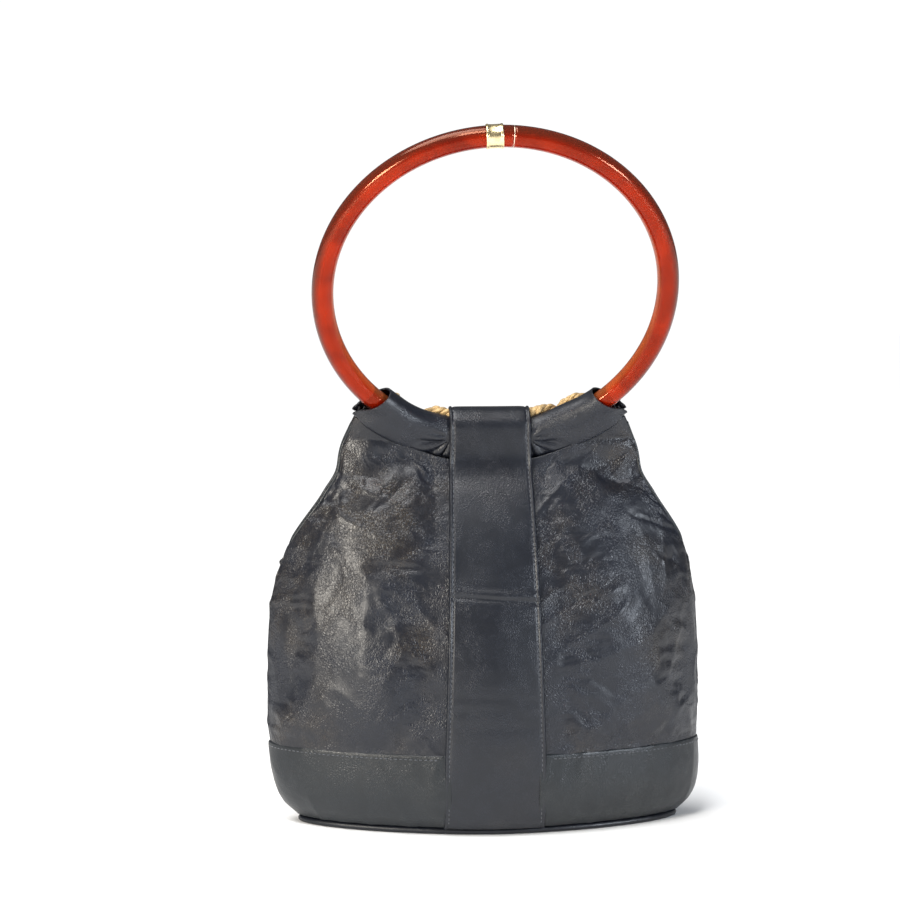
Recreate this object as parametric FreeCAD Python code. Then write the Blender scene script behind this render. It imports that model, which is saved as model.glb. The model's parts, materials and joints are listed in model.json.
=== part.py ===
import FreeCAD, Part
import math
import os

# Bucket bag with a stiff ring handle, in millimetres.
#
# The origin is the middle of the base on the surface it stands on. +Z is up,
# the front faces -Y and the width runs along X. The ring sits in two leather
# casings, and a strap runs from the base up the front, over the ring and down
# the back.

# ---------------------------------------------------------------- driving sizes

# Ring handle
RING_RADIUS = 117.5          # centre line of the acrylic rod
ROD_RADIUS = 7.4
RING_LEAN = 27.5             # degrees that the ring leans forward
RING_FOOT_HEIGHT = 272.0     # lowest point of the rod's centre line
FERRULE_LENGTH = 11.4
FERRULE_WALL = 0.55
KEY_LENGTH = 12.2            # short rod between the collar's middle and the joint
JOINT_GAP = 0.15
RING_PARKED = 182.8          # degrees from the ring's foot to the collar's middle
DOWEL_RADIUS = 2.0
DOWEL_LENGTH = 18.0
DOWEL_CLEARANCE = 0.05
DOWEL_END_ROOM = 0.2

# Leather body
BODY_WIDTH = 300.0
BODY_DEPTH = 128.0
SIDE_RISE = 34.0             # how far the side edges rise above the ring's foot
LEATHER = 1.8
LINING = 0.8
LAYER_GAP = 0.1              # between two layers that lie on each other
BAND_HEIGHT = 58.0
SEAM_GAP = 0.2               # between two pieces that are sewn edge to edge

# Casings that hold the ring
TUNNEL_CLEARANCE = 1.0       # round the rod, so that the ring slides through
CASING_WALL = 1.6
CASING_HALF_ANGLE = 47.0     # where the rod comes out, seen from the ring's centre
SEAM_FLATTER = 34.0          # how much larger the seam's arc is than the ring's
SEAM_ALLOWANCE = 1.0         # from the fold's underside to the seam at its lowest
FLEX_GAP = 0.4               # between the casings and the body they are sewn to

# Side mouths
MOUTH_LENGTH = 84.0          # from the ring's foot down to the bottom of the mouth
MOUTH_HALF_WIDTH = 7.5
MOUTH_TOP_HALF_WIDTH = 4.5
BINDING_WIDTH = 3.0
BINDING_PROUD = 0.5

# Strap
STRAP_TOP_WIDTH = 57.0
STRAP_MIDDLE_WIDTH = 65.0
STRAP_FOOT_WIDTH = 70.0
STRAP_THICKNESS = 2.2
STRAP_FOOT_HEIGHT = 5.2
STRAP_LOOP_EASE = 1.0        # slack between the loop and the casings inside it
STRAP_LOOP_LEG = 21.8        # from the ring's foot down to where the loop is cut off

# Rope along the top edge
ROPE_RADIUS = 3.2
ROPE_TURNED_BACK = 30.0      # degrees that it lies behind the ring's plane
ROPE_HALF_ANGLE = 44.0

# Base
PIPING_HEIGHT = 4.6
PIPING_WIDTH = 5.0
PIPING_ROUND = 1.15          # how far its top and bottom edges are rounded in
BASE_LEATHER = 2.0
BOARD_THICKNESS = 2.5
BOARD_CLEARANCE = 2.0

FAR = 400.0                  # longer than the bag, for cutting tools
TUNNEL_OVERRUN = 4.0         # degrees that a boring tool runs past each end
OUTLINE_POINTS = 44

# ------------------------------------------------------------- derived places

LEAN = math.radians(RING_LEAN)
RING_AXIS = FreeCAD.Vector(0, math.cos(LEAN), math.sin(LEAN))
RING_UP = FreeCAD.Vector(0, -math.sin(LEAN), math.cos(LEAN))
RING_FOOT = FreeCAD.Vector(0, 0, RING_FOOT_HEIGHT)
RING_CENTRE = RING_FOOT + RING_UP * RING_RADIUS
TUNNEL_RADIUS = ROD_RADIUS + TUNNEL_CLEARANCE
CASING_RADIUS = TUNNEL_RADIUS + CASING_WALL
NECK_HALF_DEPTH = CASING_RADIUS / math.cos(LEAN)
CASING_SEAM_RADIUS = RING_RADIUS + SEAM_FLATTER
CASING_SEAM_DROP = CASING_RADIUS + SEAM_ALLOWANCE
BODY_START = PIPING_HEIGHT + SEAM_GAP
BODY_HEIGHT = RING_FOOT_HEIGHT + SIDE_RISE
MOUTH_BOTTOM = RING_FOOT_HEIGHT - MOUTH_LENGTH

# Each station: share of the height, of half the width and of half the depth,
# then how full the outline is (a lens at the foot, a flat slot at the neck).
BODY_STATIONS = (
    (0.000, 0.905, 0.83, 1.65, 0.62),
    (0.030, 0.962, 0.92, 1.65, 0.62),
    (0.085, 0.988, 0.97, 1.65, 0.62),
    (0.200, 1.000, 1.00, 1.65, 0.63),
    (0.330, 1.000, 0.98, 1.65, 0.63),
    (0.430, 0.996, 0.92, 1.66, 0.63),
    (0.520, 0.980, 0.83, 1.68, 0.63),
    (0.610, 0.945, 0.70, 1.74, 0.62),
    (0.690, 0.893, 0.55, 1.85, 0.65),
    (0.760, 0.830, 0.38, 2.20, 0.60),
    (0.810, 0.780, 0.24, 2.80, 0.56),
    (0.850, 0.734, 0.16, 4.20, 0.50),
    (0.900, 0.684, 0.16, 5.60, 0.50),
    (0.950, 0.638, 0.16, 6.00, 0.50),
    (1.000, 0.592, 0.16, 6.00, 0.50),
)


# Each corner of the mouth below the neck: share of the rise from its bottom and
# share of its half width.
MOUTH_CORNERS = (
    (0.02, 0.45),
    (0.12, 0.80),
    (0.38, 1.00),
    (0.58, 0.85),
)


# ------------------------------------------------------------- shared geometry

def plane_offset(height):
    """Y of the bag's middle plane, which leans with the ring above its foot."""
    return -max(0.0, height - RING_FOOT_HEIGHT) * math.tan(LEAN)


def half_depth(share):
    """Half the depth at a station, never less than the closed neck."""
    return max(share * BODY_DEPTH / 2, NECK_HALF_DEPTH)


def outline(height, half_width, depth, fullness, roundness):
    """Closed lens-shaped outline at one height."""
    points = []
    for i in range(OUTLINE_POINTS):
        turn = 2 * math.pi * (i + 0.5) / OUTLINE_POINTS
        cosine = math.cos(turn)
        sine = math.sin(turn)
        x = math.copysign(half_width * abs(cosine) ** (2 / fullness), cosine)
        y = math.copysign(depth * abs(sine) ** (2 * roundness), sine)
        points.append(FreeCAD.Vector(x, y + plane_offset(height), height))
    curve = Part.BSplineCurve()
    curve.interpolate(points, PeriodicFlag=True)
    return Part.Wire([curve.toShape()])


def body_solid(offset):
    """The whole bag's outer shape, grown by offset on every side."""
    wires = []
    for share, wide, deep, fullness, roundness in BODY_STATIONS:
        height = BODY_START + share * (BODY_HEIGHT - BODY_START)
        half_width = wide * BODY_WIDTH / 2 + offset
        wires.append(outline(height, half_width, half_depth(deep) + offset, fullness, roundness))
    return Part.makeLoft(wires, True, False)


def floor_plate(inset, low, high):
    """Flat plate with the floor outline, inset all round."""
    _, wide, deep, fullness, roundness = BODY_STATIONS[0]
    half_width = wide * BODY_WIDTH / 2 - inset
    depth = deep * BODY_DEPTH / 2 - inset
    face = Part.Face(outline(low, half_width, depth, fullness, roundness))
    return face.extrude(FreeCAD.Vector(0, 0, high - low))


def box(x_range, y_range, z_range):
    """Box between two corners given as ranges."""
    low = FreeCAD.Vector(x_range[0], y_range[0], z_range[0])
    return Part.makeBox(
        x_range[1] - x_range[0],
        y_range[1] - y_range[0],
        z_range[1] - z_range[0],
        low,
    )


def yz_prism(points, x_low, x_high):
    """Prism along X through a closed outline in Y and Z."""
    corners = [FreeCAD.Vector(x_low, y, z) for y, z in points]
    wire = Part.makePolygon(corners + corners[:1])
    return Part.Face(wire).extrude(FreeCAD.Vector(x_high - x_low, 0, 0))


def xz_prism(points, y_low, y_high):
    """Prism along Y through a closed outline in X and Z."""
    corners = [FreeCAD.Vector(x, y_low, z) for x, z in points]
    wire = Part.makePolygon(corners + corners[:1])
    return Part.Face(wire).extrude(FreeCAD.Vector(0, y_high - y_low, 0))


def ring_tube(radius, tube_radius, start, end, back=0.0):
    """Tube along the ring, between two angles measured from its lowest point.

    Positive angles are on the +X side, and back moves the tube behind the
    ring's plane.
    """
    centre = RING_CENTRE + RING_AXIS * back
    start_turn = math.radians(start)
    place = centre - RING_UP * radius * math.cos(start_turn)
    place = place + FreeCAD.Vector(radius * math.sin(start_turn), 0, 0)
    heading = FreeCAD.Vector(math.cos(start_turn), 0, 0) + RING_UP * math.sin(start_turn)
    section = Part.Face(Part.Wire([Part.makeCircle(tube_radius, place, heading)]))
    return section.revolve(centre, RING_AXIS * -1, end - start)


def ring_cylinder(radius, centre):
    """Cylinder about an axis parallel to the ring's, through the whole bag."""
    return Part.makeCylinder(radius, 2 * FAR, centre - RING_AXIS * FAR, RING_AXIS)


def sorted_solids(solids):
    """Name four solids by the side that their centre lies on."""
    named = {}
    for solid in solids:
        centre = solid.CenterOfMass
        side = "left" if centre.x < 0 else "right"
        face = "front" if centre.y < plane_offset(centre.z) else "back"
        named.setdefault(face + "_" + side, []).append(solid)
    return {name: largest(group) for name, group in named.items()}


def largest(solids):
    """The biggest of several solids."""
    return max(solids, key=lambda solid: solid.Volume)


# ----------------------------------------------------------------- cutting tools

SEAM_CENTRE = RING_FOOT + RING_UP * (CASING_SEAM_RADIUS - CASING_SEAM_DROP)
above_seam = ring_cylinder(CASING_SEAM_RADIUS, SEAM_CENTRE)
above_seam_and_gap = ring_cylinder(CASING_SEAM_RADIUS + FLEX_GAP, SEAM_CENTRE)
inside_rod_line = ring_cylinder(RING_RADIUS, RING_CENTRE)
centre_cut = box((-SEAM_GAP / 2, SEAM_GAP / 2), (-FAR, FAR), (-FAR, FAR))


def mouth_prism(grow):
    """Side slit: a hairline seam low down that opens into the mouth."""
    rise = BODY_HEIGHT - MOUTH_BOTTOM
    half = [(SEAM_GAP / 2, 0.0), (SEAM_GAP / 2, MOUTH_BOTTOM - grow)]
    for share, wide in MOUTH_CORNERS:
        half.append((wide * MOUTH_HALF_WIDTH + grow, MOUTH_BOTTOM + share * rise))
    for height in (RING_FOOT_HEIGHT - CASING_SEAM_DROP, RING_FOOT_HEIGHT, FAR):
        half.append((MOUTH_TOP_HALF_WIDTH + grow, height))
    right = [(y + plane_offset(z), z) for y, z in half]
    left = [(plane_offset(z) - y, z) for y, z in reversed(half)]
    return yz_prism(right + left, -FAR, FAR)


def strap_region(low, high, grow):
    """Prism that holds the strap's tapering width between two heights."""
    widths = (
        (STRAP_FOOT_WIDTH, 0.0),
        (STRAP_FOOT_WIDTH, BAND_HEIGHT),
        (STRAP_MIDDLE_WIDTH, RING_FOOT_HEIGHT / 2),
        (STRAP_TOP_WIDTH, RING_FOOT_HEIGHT),
        (STRAP_TOP_WIDTH, RING_FOOT_HEIGHT + FAR),
    )
    right = [(width / 2 + grow, z) for width, z in widths]
    left = [(-x, z) for x, z in reversed(right)]
    prism = xz_prism(right + left, -FAR, FAR)
    return prism.common(box((-FAR, FAR), (-FAR, FAR), (low, high)))


# ------------------------------------------------------------------- body layers

def layer(outer_offset, inner_offset):
    """Shell between two offsets of the body's outer shape."""
    return body_solid(outer_offset).cut(body_solid(inner_offset))


def make_panels():
    """Four leather body panels, between the base band and the casing seam."""
    above_band = box((-FAR, FAR), (-FAR, FAR), (BAND_HEIGHT + SEAM_GAP, FAR))
    shell = layer(0.0, -LEATHER).common(above_band).cut(above_seam_and_gap)
    panels = sorted_solids(shell.cut(centre_cut).cut(mouth_prism(0.0)).Solids)
    return {name + "_panel": solid for name, solid in panels.items()}


def make_base_bands():
    """Two leather bands that wrap the foot, sewn together under the strap."""
    band = layer(0.0, -LEATHER).common(box((-FAR, FAR), (-FAR, FAR), (BODY_START, BAND_HEIGHT)))
    halves = band.cut(centre_cut).Solids
    return {
        "base_band_left": largest([half for half in halves if half.CenterOfMass.x < 0]),
        "base_band_right": largest([half for half in halves if half.CenterOfMass.x > 0]),
    }


def make_linings():
    """Fabric lining of the front and the back, inside the leather."""
    outer = -LEATHER - LAYER_GAP
    shell = layer(outer, outer - LINING).cut(above_seam_and_gap)
    shell = shell.common(box((-FAR, FAR), (-FAR, FAR), (BODY_START + LINING, FAR)))
    halves = shell.cut(mouth_prism(0.0)).Solids
    front = [half for half in halves if half.CenterOfMass.y < 0]
    back = [half for half in halves if half.CenterOfMass.y > 0]
    return {"lining_front": largest(front), "lining_back": largest(back)}


def make_bindings():
    """Turned leather edge round each side mouth, outside the panels."""
    outer = LAYER_GAP + BINDING_PROUD
    rim = layer(outer, LAYER_GAP).cut(above_seam_and_gap)
    rim = rim.common(mouth_prism(BINDING_WIDTH)).cut(mouth_prism(0.0))
    low = MOUTH_BOTTOM - BINDING_WIDTH
    bindings = {}
    for side, x_range in (("left", (-FAR, 0.0)), ("right", (0.0, FAR))):
        piece = rim.common(box(x_range, (-FAR, FAR), (low, FAR)))
        bindings["mouth_binding_" + side] = Part.makeCompound(piece.Solids)
    return bindings


# ------------------------------------------------------------------------ strap

def make_straps():
    """Front and back straps, outside the panels and up to the casing seam."""
    outer = LAYER_GAP + STRAP_THICKNESS
    shell = layer(outer, LAYER_GAP).cut(above_seam_and_gap)
    shell = shell.common(strap_region(STRAP_FOOT_HEIGHT, FAR, 0.0))
    front = [solid for solid in shell.Solids if solid.CenterOfMass.y < 0]
    back = [solid for solid in shell.Solids if solid.CenterOfMass.y > 0]
    return {"strap_front": largest(front), "strap_back": largest(back)}


def make_strap_loop():
    """The strap's fold over the ring and the rope."""
    half = STRAP_TOP_WIDTH / 2
    rise = RING_RADIUS - math.sqrt(RING_RADIUS ** 2 - half ** 2)
    inner = NECK_HALF_DEPTH + rise * math.sin(LEAN) + LAYER_GAP + STRAP_LOOP_EASE
    outer = inner + STRAP_THICKNESS
    rope_top = CASING_RADIUS + 2 * ROPE_RADIUS + STRAP_LOOP_EASE
    arch = RING_FOOT_HEIGHT + rope_top + rise - inner
    low = RING_FOOT_HEIGHT - STRAP_LOOP_LEG

    def arch_prism(radius):
        left_foot = FreeCAD.Vector(-half, -radius, low)
        left_top = FreeCAD.Vector(-half, -radius, arch)
        crown = FreeCAD.Vector(-half, 0, arch + radius)
        right_top = FreeCAD.Vector(-half, radius, arch)
        right_foot = FreeCAD.Vector(-half, radius, low)
        edges = [
            Part.LineSegment(left_foot, left_top).toShape(),
            Part.Arc(left_top, crown, right_top).toShape(),
            Part.LineSegment(right_top, right_foot).toShape(),
            Part.LineSegment(right_foot, left_foot).toShape(),
        ]
        return Part.Face(Part.Wire(edges)).extrude(FreeCAD.Vector(2 * half, 0, 0))

    return arch_prism(outer).cut(arch_prism(inner)).common(above_seam)


# ---------------------------------------------------------------------- casings

def make_casings():
    """Leather folded over the ring, one casing on each side of the middle."""
    skirt = layer(0.0, -CASING_WALL).common(above_seam).cut(inside_rod_line)
    reach = 2 * RING_RADIUS
    turn = math.radians(CASING_HALF_ANGLE)
    middle = RING_CENTRE - FreeCAD.Vector(SEAM_GAP, 0, 0) - RING_AXIS * FAR
    below = middle - RING_UP * reach
    outwards = FreeCAD.Vector(-reach, 0, 0)
    end = middle + outwards * math.sin(turn) - RING_UP * reach * math.cos(turn)
    face = Part.Face(Part.makePolygon([middle, below, below + outwards, end, middle]))
    wedge = face.extrude(RING_AXIS * 2 * FAR)
    first = -CASING_HALF_ANGLE
    last = -math.degrees(SEAM_GAP / RING_RADIUS)
    fold = ring_tube(RING_RADIUS, CASING_RADIUS, first, last)
    tunnel = ring_tube(RING_RADIUS, TUNNEL_RADIUS, first - TUNNEL_OVERRUN, last + TUNNEL_OVERRUN)
    casing = skirt.common(wedge).fuse(fold).cut(tunnel)
    left = largest(casing.Solids)
    right = left.mirror(FreeCAD.Vector(0, 0, 0), FreeCAD.Vector(1, 0, 0))
    return {"casing_left": left, "casing_right": right}


def make_rope():
    """Twisted rope, laid along the back of the casings' top edge."""
    reach = CASING_RADIUS + ROPE_RADIUS + LAYER_GAP
    back = reach * math.sin(math.radians(ROPE_TURNED_BACK))
    radius = RING_RADIUS - reach * math.cos(math.radians(ROPE_TURNED_BACK))
    return ring_tube(radius, ROPE_RADIUS, -ROPE_HALF_ANGLE, ROPE_HALF_ANGLE, back)


# ------------------------------------------------------------------------- ring

def along(length):
    """Angle on the ring for a length along its centre line."""
    return math.degrees(length / RING_RADIUS)


def make_ring():
    """Rod, short key piece, collar and the pin hidden inside the collar."""
    top = RING_PARKED
    hoop_end = top + along(JOINT_GAP / 2)
    key_start = top - along(JOINT_GAP / 2)
    key_end = top - along(KEY_LENGTH)
    hoop_start = key_end - along(JOINT_GAP)
    hole_half = along(DOWEL_LENGTH / 2 + DOWEL_END_ROOM)
    hole = ring_tube(RING_RADIUS, DOWEL_RADIUS + DOWEL_CLEARANCE, top - hole_half, top + hole_half)
    hoop = ring_tube(RING_RADIUS, ROD_RADIUS, hoop_end - 360, hoop_start).cut(hole)
    key = ring_tube(RING_RADIUS, ROD_RADIUS, key_end, key_start).cut(hole)
    pin_half = along(DOWEL_LENGTH / 2)
    pin = ring_tube(RING_RADIUS, DOWEL_RADIUS, top - pin_half, top + pin_half)
    collar_half = along(FERRULE_LENGTH / 2)
    bore = ROD_RADIUS + DOWEL_CLEARANCE
    collar = ring_tube(RING_RADIUS, ROD_RADIUS + FERRULE_WALL, top - collar_half, top + collar_half)
    collar = collar.cut(ring_tube(RING_RADIUS, bore, top - 2 * collar_half, top + 2 * collar_half))
    return {"hoop": hoop, "hoop_key": key, "hoop_dowel": pin, "ferrule": collar}


# ------------------------------------------------------------------------- base

def make_base():
    """Sole, rolled edge, stiff board and the lining on top of it."""
    _, wide, deep, fullness, roundness = BODY_STATIONS[0]
    half_width = wide * BODY_WIDTH / 2
    depth = deep * BODY_DEPTH / 2
    wires = []
    for height, inset in ((0.0, PIPING_ROUND), (PIPING_HEIGHT / 2, 0.0), (PIPING_HEIGHT, PIPING_ROUND)):
        wires.append(outline(height, half_width - inset, depth - inset, fullness, roundness))
    piping = Part.makeLoft(wires, True, False).cut(floor_plate(PIPING_WIDTH, -1.0, FAR))
    sole = floor_plate(PIPING_WIDTH + LAYER_GAP, 0.0, BASE_LEATHER)
    board_low = BASE_LEATHER + LAYER_GAP
    board_high = board_low + BOARD_THICKNESS
    inset = PIPING_WIDTH + BOARD_CLEARANCE
    board = floor_plate(inset, board_low, board_high)
    lining = floor_plate(inset, board_high + LAYER_GAP, board_high + LAYER_GAP + LINING)
    return {
        "base_piping": piping,
        "base_panel": sole,
        "base_board": board,
        "lining_base": lining,
    }


# ----------------------------------------------------------------------- output

def main():
    os.makedirs("parts", exist_ok=True)
    nodes = {}
    for group in (make_panels, make_base_bands, make_linings, make_bindings, make_straps):
        nodes.update(group())
    nodes["strap_loop"] = make_strap_loop()
    nodes.update(make_casings())
    nodes["gold_rope"] = make_rope()
    nodes.update(make_ring())
    nodes.update(make_base())
    for name, shape in sorted(nodes.items()):
        shape.exportStep("parts/" + name + ".step")
        size = shape.BoundBox
        print(
            name, "valid" if shape.isValid() else "INVALID", "solids", len(shape.Solids),
            "volume %.0f" % shape.Volume,
            "x %.1f %.1f y %.1f %.1f z %.1f %.1f" % (
                size.XMin, size.XMax, size.YMin, size.YMax, size.ZMin, size.ZMax,
            ),
        )


main()
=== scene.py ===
# %% [markdown]
# # A soft leather bucket bag that hangs from an acrylic ring
# The bag has three moving bodies. The leather body stands on its base, the saddle is the folded
# leather that holds the ring, and the ring slides round inside that fold. The measured frame is
# loaded first, and every piece below takes its place from it.

# %% Load the frame
import json
import math
import bmesh
import bpy
from mathutils import Matrix, Vector, noise


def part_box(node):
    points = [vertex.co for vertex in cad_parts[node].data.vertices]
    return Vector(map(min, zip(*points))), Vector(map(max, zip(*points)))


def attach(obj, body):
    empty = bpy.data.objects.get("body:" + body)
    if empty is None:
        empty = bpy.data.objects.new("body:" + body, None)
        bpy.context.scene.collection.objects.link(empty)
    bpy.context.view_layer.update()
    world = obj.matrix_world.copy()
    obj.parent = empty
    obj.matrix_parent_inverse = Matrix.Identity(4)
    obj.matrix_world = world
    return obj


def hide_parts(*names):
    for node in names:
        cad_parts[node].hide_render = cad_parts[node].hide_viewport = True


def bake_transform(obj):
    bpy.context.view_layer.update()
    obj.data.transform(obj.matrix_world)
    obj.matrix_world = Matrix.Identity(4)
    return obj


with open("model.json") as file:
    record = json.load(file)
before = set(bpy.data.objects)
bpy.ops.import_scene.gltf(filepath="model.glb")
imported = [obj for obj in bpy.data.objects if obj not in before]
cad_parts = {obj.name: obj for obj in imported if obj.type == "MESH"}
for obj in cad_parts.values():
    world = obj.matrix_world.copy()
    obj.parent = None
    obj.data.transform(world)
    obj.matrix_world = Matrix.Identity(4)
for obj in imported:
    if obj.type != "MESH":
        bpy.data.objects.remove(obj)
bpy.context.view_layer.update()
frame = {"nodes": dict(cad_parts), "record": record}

MM = 0.001
FACES = ((-1, "front"), (1, "back"))
SIDES = ((-1, "left"), (1, "right"))

# %% [markdown]
# ## The sizes that everything hangs on
# The two joints say where the ring is: its foot is the swing axis, and its centre is the axis that
# it turns about. The line between them gives the ring's radius and how far it leans forward. The
# other sizes are walls and widths that a leather worker would write on the pattern.

# %% Ring, strap and leather sizes
joints = {joint["name"]: joint for joint in frame["record"]["behaviour"]["joints"]}
ring_foot = Vector(joints["handle_swing"]["pos_m"])
ring_centre = Vector(joints["ring_turn"]["pos_m"])
ring_axis = Vector(joints["ring_turn"]["axis"]).normalized()
ring_radius = (ring_centre - ring_foot).length
ring_up = (ring_centre - ring_foot).normalized()
lean = math.atan2(-ring_up.y, ring_up.z)
rod_radius = 7.4 * MM
casing_radius = 9.9 * MM
casing_half_angle = 47.0
seam_radius = ring_radius + 34 * MM
seam_drop = 11 * MM
leather_wall = 1.8 * MM
band_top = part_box("base_band_left")[1][2]
band_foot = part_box("base_band_left")[0][2]
half_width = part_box("base_band_right")[1][0]
half_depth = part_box("base_band_left")[1][1]
neck_half_depth = 10 * MM / math.cos(lean)
neck_rounding = 4 * MM
body_height = ring_foot.z + 34 * MM
mouth_bottom = ring_foot.z - 84 * MM
print("ring radius %.1f mm, lean %.1f degrees" % (ring_radius / MM, math.degrees(lean)))

# %% [markdown]
# ## The shape of the body
# A bucket bag is a loft. At the foot its outline is a fat lens, held open by a stiff board, and at
# the top it is pressed flat round the ring. The outline at any height is worked out from a few
# stations, with a smooth curve between them, so every panel, lining and stitch can ask one function
# where the leather is.

# %% Outline of the body at any height
# Each row is a share of the body's height, its half width and half depth as shares of the widest,
# and two powers that say how full and how round the outline is there.
STATIONS = (
    (0.000, 0.905, 0.83, 1.65, 0.62),
    (0.030, 0.962, 0.92, 1.65, 0.62),
    (0.085, 0.988, 0.97, 1.65, 0.62),
    (0.200, 1.000, 1.00, 1.65, 0.63),
    (0.330, 1.000, 0.98, 1.65, 0.63),
    (0.430, 0.996, 0.92, 1.66, 0.63),
    (0.520, 0.980, 0.83, 1.68, 0.63),
    (0.610, 0.945, 0.70, 1.74, 0.62),
    (0.690, 0.893, 0.55, 1.85, 0.65),
    (0.760, 0.830, 0.38, 2.20, 0.60),
    (0.810, 0.780, 0.24, 2.80, 0.56),
    (0.850, 0.734, 0.16, 4.20, 0.50),
    (0.900, 0.684, 0.16, 5.60, 0.50),
    (0.950, 0.638, 0.16, 6.00, 0.50),
    (1.000, 0.592, 0.16, 6.00, 0.50),
)


def smooth_step(value, low, high):
    """0 below low, 1 above high, and an easy curve between."""
    t = min(max((value - low) / (high - low), 0.0), 1.0)
    return t * t * (3 - 2 * t)


def station(height):
    """Half width, half depth, fullness and roundness of the outline at a height."""
    share = (height - band_foot) / (body_height - band_foot)
    share = min(max(share, 0.0), 1.0)
    i = 0
    while i < len(STATIONS) - 2 and share > STATIONS[i + 1][0]:
        i += 1
    before, low, high, after = (STATIONS[min(max(j, 0), len(STATIONS) - 1)]
                                for j in range(i - 1, i + 3))
    span = high[0] - low[0]
    t = (share - low[0]) / span
    values = []
    for k in range(1, 5):
        slope_low = span * (high[k] - before[k]) / (high[0] - before[0])
        slope_high = span * (after[k] - low[k]) / (after[0] - low[0])
        ease = t * t * (3 - 2 * t)
        curve = t * (1 - t) * ((1 - t) * slope_low - t * slope_high)
        values.append(low[k] + ease * (high[k] - low[k]) + curve)
    wide, deep, full, roundness = values
    # A smooth maximum: the body is never thinner than the neck.
    spare = deep * half_depth - neck_half_depth
    depth = neck_half_depth + (spare + math.sqrt(spare ** 2 + neck_rounding ** 2)) / 2
    return wide * half_width, depth, full, roundness


def plane_offset(height):
    """Y of the bag's middle plane, which leans with the ring above its foot."""
    return -max(0.0, height - ring_foot.z) * math.tan(lean)


def skin(face, turn, height, proud=0.0):
    """Point on the leather. face is -1 in front and 1 behind, turn runs from +X round to -X."""
    wide, deep, full, roundness = station(height)
    cosine = math.cos(turn)
    x = math.copysign((wide + proud) * abs(cosine) ** (2 / full), cosine)
    y = face * (deep + proud) * abs(math.sin(turn)) ** (2 * roundness)
    return Vector((x, y + plane_offset(height), height))


SAG = 8.5 * MM
MOUTH_GAPE = 7.5 * MM
MOUTH_CLOSING = 3.0 * MM


def slump(point):
    """Move a point with the left side of the bag, which has sagged outwards."""
    reach = smooth_step(-point.x, 40 * MM, 150 * MM)
    rise = smooth_step(point.z, 6 * MM, 75 * MM) * (1 - smooth_step(point.z, 150 * MM, 235 * MM))
    behind = 0.75 + 0.35 * smooth_step(point.y, -5 * MM, 25 * MM)
    return Vector((point.x - SAG * reach * rise * behind, point.y, point.z))


def turn_at(x, height):
    """The turn at which the outline passes a given X."""
    wide, _, full, _ = station(height)
    share = min(abs(x) / wide, 1.0)
    return math.acos(math.copysign(share ** (full / 2), x))


def mouth_turn(height):
    """How far round the side mouth has cut the outline away, 0 below the mouth."""
    if height <= mouth_bottom:
        return 0.0
    gape = MOUTH_GAPE * smooth_step(height, mouth_bottom - 6 * MM, mouth_bottom + 45 * MM)
    gape -= MOUTH_CLOSING * smooth_step(height, mouth_bottom + 50 * MM, ring_foot.z)
    _, deep, _, roundness = station(height)
    return math.asin(min((gape / deep) ** (1 / (2 * roundness)), 1.0))


SEAM_HALF_SPAN = 0.12
SEAM_SEARCH = (0.22, 0.33)
SEAM_HALVINGS = 28


def seam_height(x, face):
    """Height of the seam between a panel and the casing above it, found by halving a range."""
    across = min(abs(x), SEAM_HALF_SPAN)
    above_foot = seam_radius - seam_drop - math.sqrt(seam_radius ** 2 - across ** 2)
    low, high = SEAM_SEARCH
    for _ in range(SEAM_HALVINGS):
        height = (low + high) / 2
        point = Vector((x, plane_offset(height) + face * neck_half_depth, height))
        if (point - ring_foot).dot(ring_up) < above_foot:
            low = height
        else:
            high = height
    return low


print("seam at the strap %.1f mm, at the side %.1f mm" % (
    seam_height(0.028, -1) / MM, seam_height(0.09, -1) / MM))


# %% [markdown]
# ## Pieces that cross the seam
# When the ring swings, the folded leather at the top goes with it and the body stays. Real leather
# spreads that bend over a few centimetres. Here each piece that crosses the seam only has its
# placement baked into its mesh; it is not blended between the body and the saddle.


def bend_with_handle(piece, side):
    """Bake a piece's placement into its mesh. side, -1 left, 0 middle or 1 right, is not used."""
    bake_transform(piece)


def add_object(name, data):
    """A new object, linked to the scene."""
    made = bpy.data.objects.new(name, data)
    bpy.context.scene.collection.objects.link(made)
    return made


def new_piece(name, bm, material):
    """Turn a bmesh into a smooth shaded object with one material."""
    mesh = bpy.data.meshes.new(name)
    bm.normal_update()
    bm.to_mesh(mesh)
    bm.free()
    mesh.shade_smooth()
    piece = add_object(name, mesh)
    mesh.materials.append(material)
    return piece


def sheet(name, place, across, along, material, flip=False):
    """A grid of leather, laid by a function of two shares from 0 to 1."""
    bm = bmesh.new()
    bmesh.ops.create_grid(bm, x_segments=across, y_segments=along, size=0.5)
    for vert in bm.verts:
        vert.co = place(vert.co.x + 0.5, vert.co.y + 0.5)
    if flip:
        bmesh.ops.reverse_faces(bm, faces=bm.faces)
    return new_piece(name, bm, material)


def thicken(piece, thickness, rounded=False):
    """Give a sheet its wall, inwards. Its cut edges may be softly rounded."""
    wall = piece.modifiers.new("wall", "SOLIDIFY")
    wall.thickness = thickness
    wall.offset = -1.0
    wall.use_even_offset = False
    if rounded:
        soft = piece.modifiers.new("round", "BEVEL")
        soft.width = 0.35 * thickness
        soft.segments = 2
        soft.limit_method = "ANGLE"
        soft.angle_limit = math.radians(55)


def smoother(piece):
    """One level of subdivision, the same in the view and in a render."""
    fine = piece.modifiers.new("fine", "SUBSURF")
    fine.levels = 1
    fine.render_levels = 1
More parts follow.
